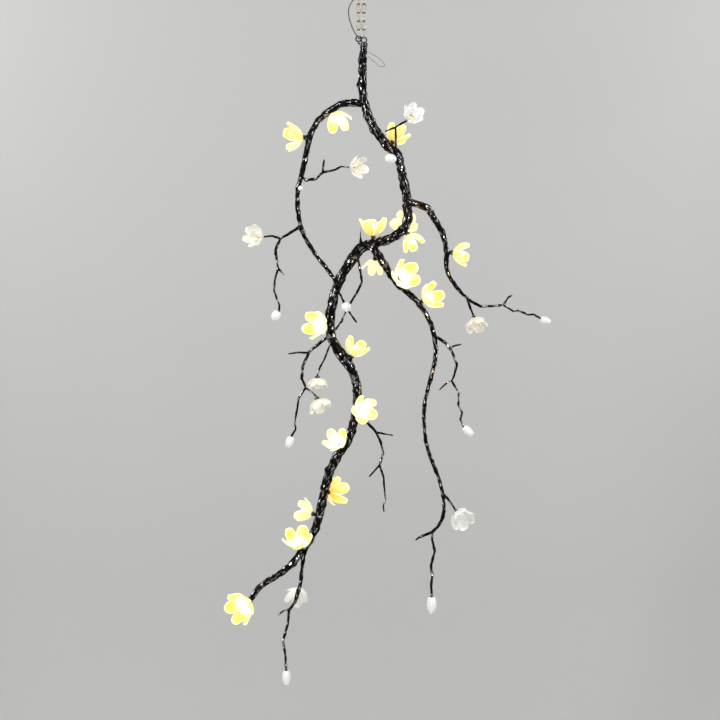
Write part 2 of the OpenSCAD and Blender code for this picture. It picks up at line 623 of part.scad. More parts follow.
module terminal_block() {
    color([0.9, 0.88, 0.8]) translate([-34, -9, -plate_t - 11]) cube([14, 18, 11]);
}
module leg(a, b, r) { stand(a, b - a) cylinder(h = norm(b - a), r = r); }
module turning_loop() {
    knee = [loop_half_w, 0, loop_bar_z];
    shoulder = [collar_r - 1, 0, flange_top_z + gap + collar_h / 2];
    color("silver") difference() {
        union() {
            translate([0, 0, flange_top_z + gap]) cylinder(h = collar_h, r = collar_r);
            translate([-loop_half_w, 0, loop_bar_z]) rotate([0, 90, 0])
                cylinder(h = 2 * loop_half_w, r = loop_wire_r);
            for (s = [-1, 1]) {
                translate([s * knee[0], 0, knee[2]]) sphere(loop_wire_r + 0.4);
                leg([s * knee[0], 0, knee[2]], [s * shoulder[0], 0, shoulder[2]], loop_wire_r);
            }
        }
        translate([0, 0, flange_top_z - 1]) cylinder(h = collar_h + 5, r = tube_r + fit);
        translate([0, 0, tube_end_z - 1]) cylinder(h = flange_h + 1 + gap, r = tube_r + 2.5 + gap);
    }
}
module supply_lead() { color([0.08, 0.08, 0.08]) lead_tube(LEAD, lead_r, 8, 2); }
module wire_loop() { color([0.8, 0.8, 0.75]) lead_tube(CLEAR, clear_wire_r, 8, 2); }

ceiling_plate();
ceiling_canopy();
hanging_tube();
tube_nuts();
canopy_nut();
driver();
terminal_block();
turning_loop();
chain();
supply_lead();
stem_cap();
wire_loop();
stem();
trunk_upper();
trunk_middle();
trunk_lower();
left_branch();
right_branch();
long_branch();
for (t = TWIG_NODES) for (i = t[1]) twig(i);
calyx_cups();
buds();
lamp_holders();
lamps();
centre_nuts();
for (i = [0:len(BLOOMS) - 1]) bloom(i);
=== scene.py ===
import math
import random

import bmesh
import bpy
import numpy as np
from mathutils import Matrix, Vector, kdtree, noise


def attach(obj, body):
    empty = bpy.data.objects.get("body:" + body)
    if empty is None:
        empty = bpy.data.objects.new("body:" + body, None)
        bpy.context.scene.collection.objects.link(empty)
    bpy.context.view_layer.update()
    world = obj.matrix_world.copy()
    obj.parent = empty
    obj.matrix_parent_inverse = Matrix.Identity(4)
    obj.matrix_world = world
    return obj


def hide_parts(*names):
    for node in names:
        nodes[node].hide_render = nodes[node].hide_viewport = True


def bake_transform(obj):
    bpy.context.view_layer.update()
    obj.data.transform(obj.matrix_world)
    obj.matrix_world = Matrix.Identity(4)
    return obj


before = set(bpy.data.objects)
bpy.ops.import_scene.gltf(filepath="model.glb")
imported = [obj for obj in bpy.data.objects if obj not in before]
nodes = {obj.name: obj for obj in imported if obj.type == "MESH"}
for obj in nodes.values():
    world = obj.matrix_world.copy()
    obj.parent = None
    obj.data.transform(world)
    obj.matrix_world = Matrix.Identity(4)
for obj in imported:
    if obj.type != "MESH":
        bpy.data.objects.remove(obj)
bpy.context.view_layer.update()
mm = 0.001
print("frame loaded:", len(nodes), "nodes")

# The view of the photograph: level, from far in front
view = {"place": (-0.0052, -9.0, -1.014), "width": 1.872, "sensor": 36}


def placeCamera(look):
    lens = bpy.data.cameras.new("camera")
    lens.sensor_width = look["sensor"]
    lens.lens = look["sensor"] * -look["place"][1] / look["width"]
    lens.clip_end = 60
    camera = bpy.data.objects.new("camera", lens)
    camera.location = look["place"]
    camera.rotation_euler = (math.radians(90), 0, 0)
    bpy.context.scene.collection.objects.link(camera)
    bpy.context.scene.camera = camera


placeCamera(view)
bpy.context.scene.view_settings.view_transform = "Standard"
print("camera placed")


# Small helpers for modelling
def clearSelection():
    if bpy.context.object and bpy.context.object.mode != "OBJECT":
        bpy.ops.object.mode_set(mode="OBJECT")
    bpy.ops.object.select_all(action="DESELECT")


def pick(*things):
    clearSelection()
    for thing in things:
        thing.select_set(True)
    bpy.context.view_layer.objects.active = things[0]


def pickVertices(piece, test):
    mesh = bmesh.from_edit_mesh(piece.data)
    for vertex in mesh.verts:
        vertex.select_set(bool(test(vertex.co)))
    mesh.select_flush_mode()
    bmesh.update_edit_mesh(piece.data)


def applyModifiers(piece):
    pick(piece)
    for modifier in list(piece.modifiers):
        bpy.ops.object.modifier_apply(modifier=modifier.name)


def settle(piece, smoothDegrees=60):
    # place, turn and size go into the mesh
    pick(piece)
    bpy.ops.object.transform_apply(location=True, rotation=True, scale=True)
    bpy.ops.object.shade_smooth_by_angle(angle=math.radians(smoothDegrees))
    return piece


def copyOf(piece, name, matrix):
    twin = piece.copy()
    twin.data = piece.data.copy()
    twin.name = name
    bpy.context.scene.collection.objects.link(twin)
    twin.data.transform(matrix)
    return twin


def joined(name, parts):
    pick(*parts)
    bpy.ops.object.join()
    whole = bpy.context.object
    whole.name = name
    return whole


def remove(piece):
    bpy.data.objects.remove(piece)


# Shader maths: a value wraps a socket, and a recipe is a material in the making
class Value:
    def __init__(self, recipe, socket):
        self.recipe = recipe
        self.socket = socket

    def combine(self, operation, first, second):
        return self.recipe.add("ShaderNodeMath", {"operation": operation}, {0: first, 1: second})

    def __add__(self, other):
        return self.combine("ADD", self, other)

    def __radd__(self, other):
        return self.combine("ADD", other, self)

    def __sub__(self, other):
        return self.combine("SUBTRACT", self, other)

    def __rsub__(self, other):
        return self.combine("SUBTRACT", other, self)

    def __mul__(self, other):
        return self.combine("MULTIPLY", self, other)

    def __rmul__(self, other):
        return self.combine("MULTIPLY", other, self)

    def __abs__(self):
        return self.combine("ABSOLUTE", self, 0)


class Recipe:
    def __init__(self, name, **constants):
        self.material = bpy.data.materials.new(name)
        self.material.use_nodes = True
        self.tree = self.material.node_tree
        self.shader = self.tree.nodes["Principled BSDF"]
        self.set(**constants)

    def add(self, kind, settings=None, sockets=None, output=0):
        node = self.tree.nodes.new(kind)
        for name, value in (settings or {}).items():
            if name == "stops":
                ramp = node.color_ramp
                while len(ramp.elements) < len(value):
                    ramp.elements.new(0.5)
                for element, (place, colour) in zip(ramp.elements, value):
                    element.position = place
                    element.color = (*colour, 1)
            else:
                setattr(node, name, value)
        for name, value in (sockets or {}).items():
            self.feed(node.inputs[name], value)
        return Value(self, node.outputs[output])

    def feed(self, socket, value):
        if isinstance(value, Value):
            self.tree.links.new(value.socket, socket)
        else:
            socket.default_value = value

    def set(self, **sockets):
        # baseColor stands for the shader's Base Color socket, and so on
        for name, value in sockets.items():
            words = "".join(" " + c if c.isupper() else c for c in name)
            words = "Specular IOR Level" if name == "specular" else words[0].upper() + words[1:]
            if words.endswith("Color") and not isinstance(value, Value):
                value = (*value, 1)
            self.feed(self.shader.inputs[words], value)

    def attribute(self, name, output="Vector"):
        return self.add("ShaderNodeAttribute", {"attribute_name": name}, output=output)

    def objectPlace(self):
        return self.add("ShaderNodeTexCoord", output="Object")

    def noise(self, place, scale, detail=3.0, roughness=0.5):
        return self.add("ShaderNodeTexNoise", {}, {"Vector": place, "Scale": scale, "Detail": detail,
                                                    "Roughness": roughness})

    def ramp(self, factor, *stops):
        return self.add("ShaderNodeValToRGB", {"stops": stops}, {"Fac": factor})

    def range(self, value, low, high, toLow=0.0, toHigh=1.0):
        return self.add("ShaderNodeMapRange", {"clamp": True}, {"Value": value, "From Min": low,
                        "From Max": high, "To Min": toLow, "To Max": toHigh})

    def mixColour(self, factor, first, second):
        node = self.tree.nodes.new("ShaderNodeMix")
        node.data_type = "RGBA"
        for index, value in ((0, factor), (6, first), (7, second)):
            if not isinstance(value, Value) and index:
                value = (*value, 1)
            self.feed(node.inputs[index], value)
        return Value(self, node.outputs[2])

    def bump(self, height, strength, distance):
        self.set(normal=self.add("ShaderNodeBump", {}, {"Height": height, "Strength": strength,
                                                         "Distance": distance}))


# Finishes
# the bark's gold is a painted warm reflection on lump tops
barkFinish = {
    "dark": (0.0015, 0.0013, 0.0012), "shine": (0.32, 0.32, 0.32), "gold": (0.42, 0.31, 0.2),
    "gloss": 0.08, "dull": 0.3, "specular": 0.07, "relief": 0.005,
    "ridgeScale": 120, "lumpScale": 50, "topScale": 190, "tops": (0.56, 0.63), "goldTops": (0.58, 0.66)}


def lacqueredBark(finish):
    # ridge tops shine like dark metal, and the furrows between them stay black; some lump tops carry a painted gold
    # reflection of the glowing blooms
    bark = Recipe("lacqueredBark", specular=finish["specular"])
    grain = bark.attribute("grain")
    ridges = bark.noise(grain, finish["ridgeScale"], 1.5, 0.4)
    lumps = bark.noise(grain, finish["lumpScale"], 1)
    height = ridges * 0.6 + lumps * 0.8
    tops = bark.range(bark.noise(grain, finish["topScale"], 1), *finish["tops"])
    # painted reflection: a gold tint mixed into the shine on some lump tops
    shineWithPaintedGold = bark.mixColour(bark.range(lumps, *finish["goldTops"]), finish["shine"], finish["gold"])
    bark.set(baseColor=bark.mixColour(tops, finish["dark"], shineWithPaintedGold), metallic=tops,
             roughness=bark.range(tops, 0, 1, finish["dull"], finish["gloss"]))
    bark.bump(height, 1.0, finish["relief"])
    return bark.material


def petalEdge(recipe):
    # how far along the petal, its edge (0 on the middle line, 1 on the rim), and its veins
    across = recipe.add("ShaderNodeSeparateXYZ", {}, {0: recipe.add("ShaderNodeTexCoord", output="UV")})
    along = Value(recipe, across.socket.node.outputs[1])
    side = abs(across * 2 - 1)
    tip = recipe.range(along, 0.55, 1.0)
    veinPlace = recipe.add("ShaderNodeCombineXYZ", {}, {0: across * 11, 1: along * 1.6})
    veins = recipe.range(recipe.noise(veinPlace, 1.0, 2), 0.36, 0.6)
    return along, recipe.add("ShaderNodeMath", {"operation": "MAXIMUM"}, {0: side, 1: tip}), veins


# Ramps run from the foot of the petal to its tip, and paint the glow of the lamp in the cup into the petals as
# emission
litFinish = {
    "strength": 1.35, "roughness": 0.25, "rim": (0.78, 1.0), "veinDepth": 0.28,
    "inside": [(0.0, (1.0, 0.98, 0.8)), (0.38, (1.0, 0.96, 0.7)), (0.55, (0.74, 0.6, 0.11)),
               (0.85, (0.74, 0.6, 0.1)), (1.0, (0.74, 0.64, 0.2))],
    "whiteHot": [(0.0, (1.0, 0.98, 0.8)), (0.7, (1.0, 0.97, 0.65)), (0.95, (0.74, 0.64, 0.16))],
    "outside": [(0.0, (0.65, 0.37, 0.04)), (0.25, (0.73, 0.52, 0.07)), (0.55, (0.76, 0.63, 0.12)),
                (1.0, (0.77, 0.71, 0.28))],
    "cream": (0.75, 0.71, 0.48), "vein": (0.62, 0.44, 0.07), "rimGlow": (0.85, 0.8, 0.52),
    "clay": (0.16, 0.12, 0.02), "rimClay": (0.4, 0.37, 0.27)}


# painted light: the petals' emission stands in for the lamp's light shining through the porcelain, white-hot near
# the foot
def litPorcelain(name, finish, inner):
    petal = Recipe(name, roughness=finish["roughness"], coatWeight=0.3, coatRoughness=0.1,
                   emissionStrength=finish["strength"])
    along, edge, veins = petalEdge(petal)
    tone = petal.attribute("tone", "Fac")
    rim = petal.range(edge, *finish["rim"])
    if inner:
        body = petal.ramp(along, *finish["inside"])
        hot = petal.ramp(along, *finish["whiteHot"])
        body = petal.mixColour(petal.range(tone, 0.9, 1.0), body, hot)
    else:
        body = petal.ramp(along, *finish["outside"])
        body = petal.mixColour(tone, body, finish["cream"])
    body = petal.mixColour(veins * finish["veinDepth"] + (1 - finish["veinDepth"]), finish["vein"], body)
    glow = petal.mixColour(rim, body, finish["rimGlow"])
    # the rims are painted lighter, both in the glow and in the base colour
    petal.set(baseColor=petal.mixColour(rim, finish["clay"], finish["rimClay"]), emissionColor=glow)
    return petal.material


plainFinish = {
    "strength": 0.16, "roughness": 0.18, "rim": (0.6, 1.0), "glow": (1.0, 0.97, 0.9),
    "white": (0.84, 0.85, 0.86), "shade": (0.78, 0.78, 0.77), "cream": (0.97, 0.86, 0.6),
    "paintedRimHighlight": (0.97, 0.96, 0.93), "patchScale": 70, "grainScale": 160, "relief": 0.0006}


def plainPorcelain(finish):
    white = Recipe("plainPorcelain", roughness=finish["roughness"], coatWeight=0.4, coatRoughness=0.06)
    place = white.objectPlace()
    tone = white.attribute("tone", "Fac")
    patches = white.range(white.noise(place, finish["patchScale"], 2), 0.4, 0.7)
    cool = white.mixColour(patches, finish["white"], finish["shade"])
    # painted highlight on the petal rims, and painted shade on the body inside the cup
    rim = white.range(petalEdge(white)[1], *finish["rim"])
    body = white.mixColour(tone, cool, finish["cream"])
    # a faint emission paints a soft glow of light into the unlit porcelain
    white.set(baseColor=white.mixColour(rim, body, finish["paintedRimHighlight"]), emissionColor=finish["glow"],
              emissionStrength=finish["strength"])
    white.bump(white.noise(place, finish["grainScale"], 2), 0.25, finish["relief"])
    return white.material


def plainMetal(name, colour, roughness):
    metal = Recipe(name, metallic=1.0)
    speckle = metal.noise(metal.objectPlace(), 900, 3)
    metal.set(baseColor=metal.mixColour(speckle, colour, tuple(c * 0.8 for c in colour)),
              roughness=metal.range(speckle, 0.3, 0.7, roughness, roughness + 0.12))
    return metal.material


def plainSurface(name, colour, roughness, **more):
    surface = Recipe(name, roughness=roughness, **more)
    speckle = surface.noise(surface.objectPlace(), 500, 3)
    surface.set(baseColor=surface.mixColour(speckle, colour, tuple(c * 0.88 for c in colour)))
    return surface.material


finishes = {
    "bark": lacqueredBark(barkFinish),
    "litInside": litPorcelain("litPetalInside", litFinish, True),
    "litOutside": litPorcelain("litPetalOutside", litFinish, False),
    "porcelain": plainPorcelain(plainFinish),
    "calyx": plainSurface("blackCalyx", (0.012, 0.01, 0.009), 0.25, coatWeight=0.6, coatRoughness=0.1),
    "blackPaint": plainSurface("satinBlack", (0.015, 0.014, 0.013), 0.32, coatWeight=0.3),
    "zinc": plainMetal("zincSteel", (0.62, 0.62, 0.6), 0.3),
    "nickel": plainMetal("nickelWire", (0.3, 0.27, 0.21), 0.2),
    "brass": plainMetal("polishedBrass", (0.75, 0.55, 0.22), 0.2),
    "driver": plainSurface("driverCase", (0.8, 0.8, 0.79), 0.5),
    "terminal": plainSurface("terminalBlock", (0.75, 0.72, 0.62), 0.5),
    "holder": plainSurface("holderCeramic", (0.85, 0.8, 0.68), 0.6),
    "lamp": plainSurface("lampGlass", (1.0, 0.95, 0.85), 0.3, emissionColor=(1.0, 0.86, 0.55),
                         emissionStrength=12.0),
    "sheath": plainSurface("leadSheath", (0.03, 0.03, 0.03), 0.45),
    "clear": plainSurface("clearSheath", (0.2, 0.19, 0.15), 0.12, coatWeight=0.8),
}
print("finishes made:", len(finishes))

# Centre lines of the bough in millimetres: across, deep, high, radius
boughLines = {
    "trunk": [(5, 0, -194, 10), (0, 3, -260, 11.4), (5, 7, -345, 12.4), (30, 12, -410, 12.6), (70, 17, -460, 13),
        (95, 19, -485, 13), (105, 19, -535, 12.2), (115, 17, -580, 12.2), (120, 12, -635, 12.4),
        (110, 7, -672, 12.8), (75, 2, -698, 13), (30, -3, -713, 13.6), (0, -3, -720, 14.8),
        (-22, -3, -746, 14.6), (-56, -1, -799, 13.2), (-75, 2, -855, 12.8), (-84, 7, -915, 12.8),
        (-78, 7, -964, 13.2), (-49, 7, -1002, 12.6), (-22, 7, -1049, 12.6), (-11, 7, -1100, 12.6),
        (-19, 7, -1170, 12), (-39, 7, -1227, 12.4), (-72, 12, -1275, 12.2), (-95, 15, -1340, 12.2),
        (-107, 17, -1400, 11.8), (-120, 17, -1450, 11.4), (-150, 15, -1505, 10.6), (-190, 12, -1552, 9.6),
        (-230, 7, -1580, 8.6), (-265, 2, -1602, 8.4), (-291, -4, -1640, 7.4)],
    "leftBranch": [(3, 7, -348, 10.4), (-44, -3, -345, 10.6), (-86, -13, -367, 9.4), (-125, -23, -408, 8.8),
        (-142, -28, -465, 8.2), (-150, -28, -507, 7.8), (-165, -23, -564, 7.2), (-168, -13, -605, 6.8),
        (-163, -3, -650, 6.4), (-150, 7, -692, 6.2), (-117, 19, -746, 6), (-81, 27, -788, 5.8),
        (-64, 11, -822, 5.4)],
    "rightBranch": [(118, 15, -600, 10), (147, 25, -610, 9.8), (172, 32, -619, 10), (186, 38, -642, 9),
        (210, 49, -681, 8.2), (222, 59, -731, 7.2), (221, 67, -775, 6.8), (239, 75, -812, 5.9),
        (272, 83, -848, 5), (309, 91, -872, 4), (353, 97, -871, 3.5), (370, 99, -869, 3.3)],
    "longBranch": [(25, -5, -716, 10.7), (37, -17, -734, 11), (58, -27, -766, 10.4), (85, -35, -810, 9.4),
        (120, -43, -840, 8.4), (153, -49, -875, 7.6), (178, -53, -921, 7), (190, -55, -971, 6.6),
        (188, -57, -1021, 6.2), (173, -59, -1076, 5.9), (160, -59, -1136, 5.5), (161, -59, -1191, 5.4),
        (168, -59, -1241, 5.4), (188, -57, -1292, 5.4), (206, -55, -1345, 5.2), (212, -53, -1400, 5.1),
        (204, -53, -1432, 5), (180, -53, -1460, 4.4), (155, -53, -1468, 4), (138, -53, -1480, 2.8)],
    "strand": [(-84, 4, -952, 3), (-76, -1, -985, 3.2), (-60, -3, -1012, 3.2), (-38, -1, -1038, 3.2),
        (-14, 3, -1074, 3)],
    "spike": [(-3, -3, -712, 4), (-4, -5, -690, 2.4), (-4, -7, -672, 1.2)],
    "upperTwig": [(88, 17, -474, 3.5), (88, 9, -440, 3.2), (87, 1, -411, 3)],
    "upperTwigFork1": [(60, 5, -419, 2.6), (87, 1, -409, 3), (122, -9, -388, 3)],
    "leftUpperTwig": [(-160, -26, -536, 5), (-145, -27, -548, 4.5), (-120, -29, -545, 4), (-102, -31, -528, 3.8),
        (-70, -33, -521, 3.3), (-55, -34, -513, 3), (-33, -35, -514, 2.8)],
    "leftUpperTwigFork1": [(-102, -31, -528, 3.5), (-100, -31, -510, 3), (-98, -33, -494, 2.2)],
    "leftSideTwig": [(-162, -1, -668, 4.5), (-185, -7, -683, 4.2), (-212, -13, -699, 4), (-225, -15, -728, 3.8),
        (-218, -17, -775, 3.6), (-226, -19, -807, 3.2), (-228, -19, -835, 3), (-214, -21, -872, 2.8),
        (-216, -21, -888, 2.8)],
    "leftSideTwigFork1": [(-218, -17, -775, 3.2), (-210, -18, -784, 3), (-202, -20, -792, 2.4)],
    "leftSideTwigFork2": [(-212, -13, -699, 3.4), (-232, -19, -692, 3.2), (-259, -25, -695, 3)],
    "rightEndTwig": [(275, 84, -850, 3.4), (284, 81, -876, 3.2), (292, 77, -898, 3)],
    "rightTipTwig": [(372, 99, -869, 3.4), (398, 102, -886, 3.2), (411, 103, -884, 3), (437, 106, -895, 3),
        (452, 107, -894, 2.8), (470, 109, -905, 2.8)],
    "rightTipTwigFork1": [(372, 99, -869, 3.4), (383, 101, -850, 3), (395, 102, -843, 2.4)],
    "crossingTwig": [(-18, -5, -728, 4), (-8, -19, -762, 3.6), (0, -25, -812, 3.4), (-14, -26, -841, 3.2),
        (-39, -23, -880, 3), (-53, -15, -914, 3), (-76, 1, -944, 3)],
    "crossingTwigFork1": [(-68, -3, -826, 3.6), (-54, -17, -848, 3.4), (-40, -23, -880, 3), (-14, -27, -917, 2.4)],
    "longSideTwig": [(188, -55, -950, 4.4), (219, -51, -972, 4.2), (234, -49, -996, 4), (245, -47, -1024, 3.8),
        (238, -45, -1055, 3.6), (232, -45, -1068, 3.4), (250, -43, -1100, 3), (249, -41, -1131, 3),
        (259, -39, -1150, 3), (254, -39, -1168, 2.8), (263, -38, -1188, 2.8)],
    "longSideTwigFork1": [(228, -50, -983, 3.2), (242, -49, -976, 2.8), (257, -49, -974, 2.2)],
    "longSideTwigFork2": [(231, -45, -1067, 3), (215, -49, -1077, 2.6), (200, -51, -1091, 2.2)],
    "longShortTwig": [(209, -54, -1358, 3.6), (224, -55, -1375, 3.4), (242, -57, -1402, 3.2)],
    "longEndTwig": [(181, -53, -1459, 3.9), (182, -51, -1482, 3.8), (188, -49, -1509, 3.8), (178, -47, -1545, 3.6),
        (182, -45, -1570, 3.6), (179, -43, -1600, 3.8), (181, -43, -1628, 3.4)],
    "leftLowerTwig": [(-80, 11, -948, 4.5), (-109, 21, -969, 4.2), (-137, 27, -992, 4.2), (-155, 31, -1030, 3.8),
        (-157, 33, -1062, 3.6), (-147, 35, -1086, 3.4), (-165, 37, -1113, 3.2), (-170, 39, -1145, 3),
        (-176, 39, -1178, 2.8), (-173, 39, -1195, 2.8), (-185, 39, -1214, 2.6)],
    "leftLowerTwigFork1": [(-140, 28, -995, 3.6), (-163, 29, -994, 3), (-192, 31, -998, 2.4)],
    "leftLowerTwigFork2": [(-146, 35, -1088, 3), (-130, 33, -1098, 2.8), (-119, 31, -1110, 2.6)],
    "stalkTwig": [(-78, 7, -958, 3.4), (-87, -7, -984, 3), (-97, -9, -1010, 2.8), (-109, -9, -1033, 2.6),
        (-116, -11, -1054, 2.6)],
    "lowerRightTwig": [(-12, 5, -1150, 4.4), (8, -3, -1170, 4.2), (36, -9, -1201, 4), (50, -13, -1230, 3.6),
        (55, -15, -1255, 3.4), (46, -17, -1287, 3.2), (56, -19, -1318, 3), (58, -19, -1347, 2.8),
        (61, -21, -1375, 2.6), (55, -21, -1392, 2.4), (57, -21, -1408, 2.2)],
    "lowerRightTwigFork1": [(36, -9, -1201, 3.4), (60, -11, -1206, 2.8), (80, -13, -1210, 2.2)],
    "lowerRightTwigFork2": [(46, -17, -1287, 3), (34, -19, -1300, 2.6), (18, -21, -1317, 2.2)],
    "bottomTwig": [(-146, 13, -1500, 6), (-155, 9, -1545, 5.2), (-160, 7, -1595, 5), (-174, 5, -1644, 4.5),
        (-190, 3, -1665, 4.2), (-193, 3, -1700, 3.8), (-205, 1, -1743, 3.6), (-199, -1, -1785, 3.4),
        (-197, -3, -1822, 3.2)],
    "bottomTwigFork1": [(-186, 3, -1661, 3.4), (-204, 1, -1666, 2.8), (-220, -1, -1678, 2.2)],
}


def curvePoint(line, place):
    # a smooth line through the points, in metres
    index = min(int(place), len(line) - 2)
    share = place - index
    before, start, end, after = (np.array(line[max(0, min(len(line) - 1, index + step))], float)
                                 for step in (-1, 0, 1, 2))
    return mm * 0.5 * (2 * start + (end - before) * share + (2 * before - 5 * start + 4 * end - after) * share ** 2
                       + (3 * start - before - 3 * end + after) * share ** 3)


def lineField(lines, shape):
    # points along all lines, each with its way, a side, its radius and its length so far
    found = []
    for line in lines.values():
        samples = [curvePoint(line, place) for place in np.linspace(0, len(line) - 1, shape["perPoint"] * len(line))]
        side = Vector((1, 0, 0))
        far = len(found) * shape["apart"]
        last = samples[0]
        for index, sample in enumerate(samples):
            ahead = samples[min(index + 1, len(samples) - 1)]
            behind = samples[max(index - 1, 0)]
            way = Vector(ahead[:3] - behind[:3]).normalized()
            side = (side - way * side.dot(way)).normalized()
            far += float(np.linalg.norm(sample[:3] - last[:3]))
            found.append((Vector(sample[:3]), way, side.copy(), float(sample[3]), far))
            last = sample
    tree = kdtree.KDTree(len(found))
    for index, sample in enumerate(found):
        tree.insert(sample[0], index)
    tree.balance()
    return found, tree


# Lumps and ridges are shares of the wood's radius, and twigs under thinBelow get bigger lumps
barkShape = {
    "perPoint": 12, "apart": 0.37, "voxel": 0.0012, "twigVoxel": 0.0008, "rounding": 8, "twigRounding": 3,
    "lumps": 0.2, "lumpScale": 75, "thinBelow": 0.006, "thinLumps": 1.7,
    "ridges": 0.16, "ridgeScale": 160, "stretch": 0.4}
thickWood = ("stem", "trunk_upper", "trunk_middle", "trunk_lower", "left_branch", "right_branch", "long_branch")
twigWood = tuple(name for name in nodes if "twig" in name)


def barkPiece(node, shape, field, tree):
    piece = nodes[node].copy()
    piece.data = nodes[node].data.copy()
    piece.name = node + "Bark"
    for key in list(piece.keys()):
        del piece[key]
    piece.parent = None
    bpy.context.scene.collection.objects.link(piece)
    pick(piece)
    bpy.ops.object.mode_set(mode="EDIT")
    bpy.ops.mesh.select_all(action="SELECT")
    bpy.ops.mesh.remove_doubles(threshold=0.00002)
    bpy.ops.object.mode_set(mode="OBJECT")
    remesh = piece.modifiers.new("even", "REMESH")
    remesh.mode = "VOXEL"
    remesh.voxel_size = shape["voxel"] if node in thickWood else shape["twigVoxel"]
    soften = piece.modifiers.new("round", "SMOOTH")
    soften.factor = 0.5
    soften.iterations = shape["rounding"] if node in thickWood else shape["twigRounding"]
    applyModifiers(piece)
    mesh = piece.data
    # the grain runs along the wood, so that ridges of shape and of finish are drawn out lengthwise
    grain = mesh.attributes.new("grain", "FLOAT_VECTOR", "POINT")
    normals = [vertex.normal.copy() for vertex in mesh.vertices]
    for vertex, normal in zip(mesh.vertices, normals):
        centre, way, side, radius, far = field[tree.find(vertex.co)[1]]
        arm = vertex.co - centre
        arm -= way * arm.dot(way)
        other = way.cross(side)
        angle = math.atan2(arm.dot(other), arm.dot(side))
        along = far + (vertex.co - centre).dot(way)
        spot = Vector((math.cos(angle) * radius, math.sin(angle) * radius, along * shape["stretch"]))
        grain.data[vertex.index].vector = spot
        lump = noise.noise(vertex.co * shape["lumpScale"]) * shape["lumps"]
        lump *= 1 if radius > shape["thinBelow"] else shape["thinLumps"]
        ridge = noise.noise(spot * shape["ridgeScale"]) * shape["ridges"]
        vertex.co += normal * radius * (lump + ridge)
    mesh.materials.clear()
    mesh.materials.append(finishes["bark"])
    for face in mesh.polygons:
        face.use_smooth = True
        face.material_index = 0
    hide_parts(node)
    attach(piece, "bough")
    return piece


field, tree = lineField(boughLines, barkShape)
woodTriangles = 0
for node in thickWood + twigWood:
    woodTriangles += 2 * len(barkPiece(node, barkShape, field, tree).data.polygons)
print("bark pieces made, about", woodTriangles, "triangles")

# Petal of the open blooms, for a bloom whose half span is 1
petalShape = {
    "rows": 9, "columns": 6, "halfWidths": (0.13, 0.22, 0.31, 0.37, 0.41, 0.425, 0.415, 0.37, 0.27),
    "footRadius": 0.13, "depth": 1.12, "bowl": 0.13, "tip": 0.24, "tipFrom": 0.6, "wall": 0.055,
    "lift": 5, "aside": 50}


def modelPetal(name, shape, inside, outside):
    clearSelection()
    rows = shape["rows"]
    bpy.ops.mesh.primitive_grid_add(x_subdivisions=shape["columns"], y_subdivisions=rows - 1, size=1,
                                    calc_uvs=True)
    petal = bpy.context.object
    petal.name = name
    bpy.ops.object.mode_set(mode="EDIT")
    for row in range(rows):
        share = row / (rows - 1)
        level = share - 0.5
        lift = shape["lift"] + row  # keeps a row clear of the others while it is shaped
        width = shape["halfWidths"][row]
        reach = shape["footRadius"] + (1 - shape["footRadius"]) * share ** 0.8
        rise = shape["depth"] * (0.35 * share + 0.65 * share ** 2)
        pickVertices(petal, lambda co: abs(co.y - level) < 0.01 and abs(co.z) < 0.001)
        bpy.ops.transform.resize(value=(2 * width, 1, 1), center_override=(0, level, 0))
        for column in (1, 2, 3):
            out = column / 3
            edge = width * column / 3
            bowl = shape["bowl"] * out ** 2 * min(1, width / 0.25)
            taper = shape["tip"] * max(0, share - shape["tipFrom"]) * out ** 2
            pickVertices(petal, lambda co: abs(co.y - level) < 0.01 and abs(abs(co.x) - edge) < 0.004
                         and abs(co.z) < 0.001)
            bpy.ops.transform.translate(value=(0, -0.6 * bowl - taper, 0.75 * bowl - taper + lift))
        pickVertices(petal, lambda co: abs(co.y - level) < 0.01 and abs(co.x) < 0.004 and abs(co.z) < 0.001)
        bpy.ops.transform.translate(value=(0, 0, lift))
        pickVertices(petal, lambda co: abs(co.z - lift) < 0.3)
        bpy.ops.transform.translate(value=(0, reach - level, rise - lift + shape["aside"]))
    bpy.ops.mesh.select_all(action="SELECT")
    bpy.ops.transform.translate(value=(0, 0, -shape["aside"]))
    bpy.ops.object.mode_set(mode="OBJECT")
    petal.data.materials.append(inside)
    petal.data.materials.append(outside)
    wall = petal.modifiers.new("wall", "SOLIDIFY")
    wall.thickness = shape["wall"]
    wall.offset = 0
    wall.material_offset = 1
    wall.material_offset_rim = 1
    smooth = petal.modifiers.new("smooth", "SUBSURF")
    smooth.levels = smooth.render_levels = 2
    applyModifiers(petal)
    return settle(petal, 80)


# Each bloom: way it faces, span in millimetres, petals, lit
bloomTable = [
    ((-1, -0.25, -0.05), 78, 5, True),
    ((0.25, -0.6, -0.76), 72, 5, True),
    ((0.45, 0.55, 0.7), 72, 5, True),
    ((0.35, -0.85, 0.38), 64, 6, False),
    ((0.76, -0.65, 0), 60, 5, False),
    ((-0.62, -0.78, 0.05), 62, 6, False),
    ((-0.05, -0.15, 1), 78, 5, True),
    ((-0.06, 1, 0.06), 76, 5, True),
    ((0.5, -0.4, -0.8), 65, 5, True),
    ((0.95, -0.2, -0.12), 70, 5, True),
    ((-0.15, 0.5, -0.85), 58, 5, True),
    ((0.5, -0.82, 0.28), 86, 5, True),
    ((0.72, -0.55, 0.42), 76, 5, True),
    ((0.28, -0.45, -0.85), 62, 5, False),
    ((-0.68, -0.73, 0.05), 82, 5, True),
    ((0.42, -0.35, 0.84), 72, 5, True),
    ((0.4, -0.9, 0), 76, 5, True),
    ((0.05, -0.2, -1), 55, 5, False),
    ((0.4, -0.25, -0.9), 62, 5, False),
    ((-0.34, -0.8, 0.5), 72, 5, True),
    ((0.62, 0.78, 0), 78, 5, True),
    ((-0.85, 0.38, 0.28), 66, 5, True),
    ((-0.16, -0.6, 0.77), 84, 5, True),
    ((-0.5, -0.8, -0.35), 92, 6, True),
    ((-0.2, 0.8, -0.55), 66, 5, False),
    ((0.45, -0.68, -0.58), 66, 6, False),
]
